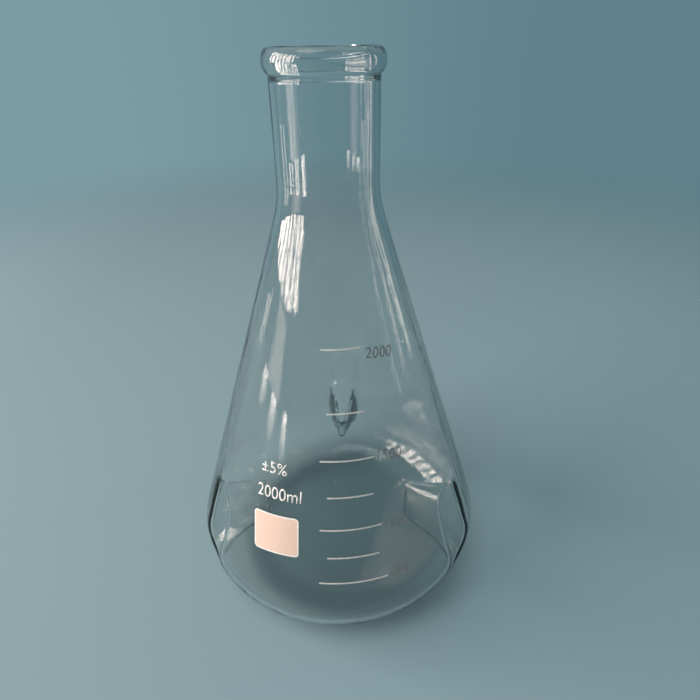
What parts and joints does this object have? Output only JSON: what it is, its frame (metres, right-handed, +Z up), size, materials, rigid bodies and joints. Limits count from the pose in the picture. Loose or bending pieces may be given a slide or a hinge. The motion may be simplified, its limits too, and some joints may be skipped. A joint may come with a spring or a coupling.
{
  "type": "baffled erlenmeyer flask",
  "caption": "Conical glass flask with a beaded narrow neck, a rounded base and wedge baffles pressed into the lower wall, with white enamel level marks and a marking spot.",
  "frame": {"origin": "centre of the footprint, on the surface that the flask stands on", "axes": "+Z up the flask's axis to the mouth; the enamel marks face -Y; one baffle faces +Y, the others lie at 210 and 330 degrees from +X"},
  "size_m": [0.166, 0.1651, 0.28],
  "materials": {
    "glass": "clear polished borosilicate glass",
    "enamel_white": "white fired enamel",
    "enamel_spot": "matt off-white fired enamel"
  },
  "bodies": {
    "root": {"flask": "glass", "graduation_lines": "enamel_white", "marking_spot": "enamel_spot"}
  },
  "joints": []
}
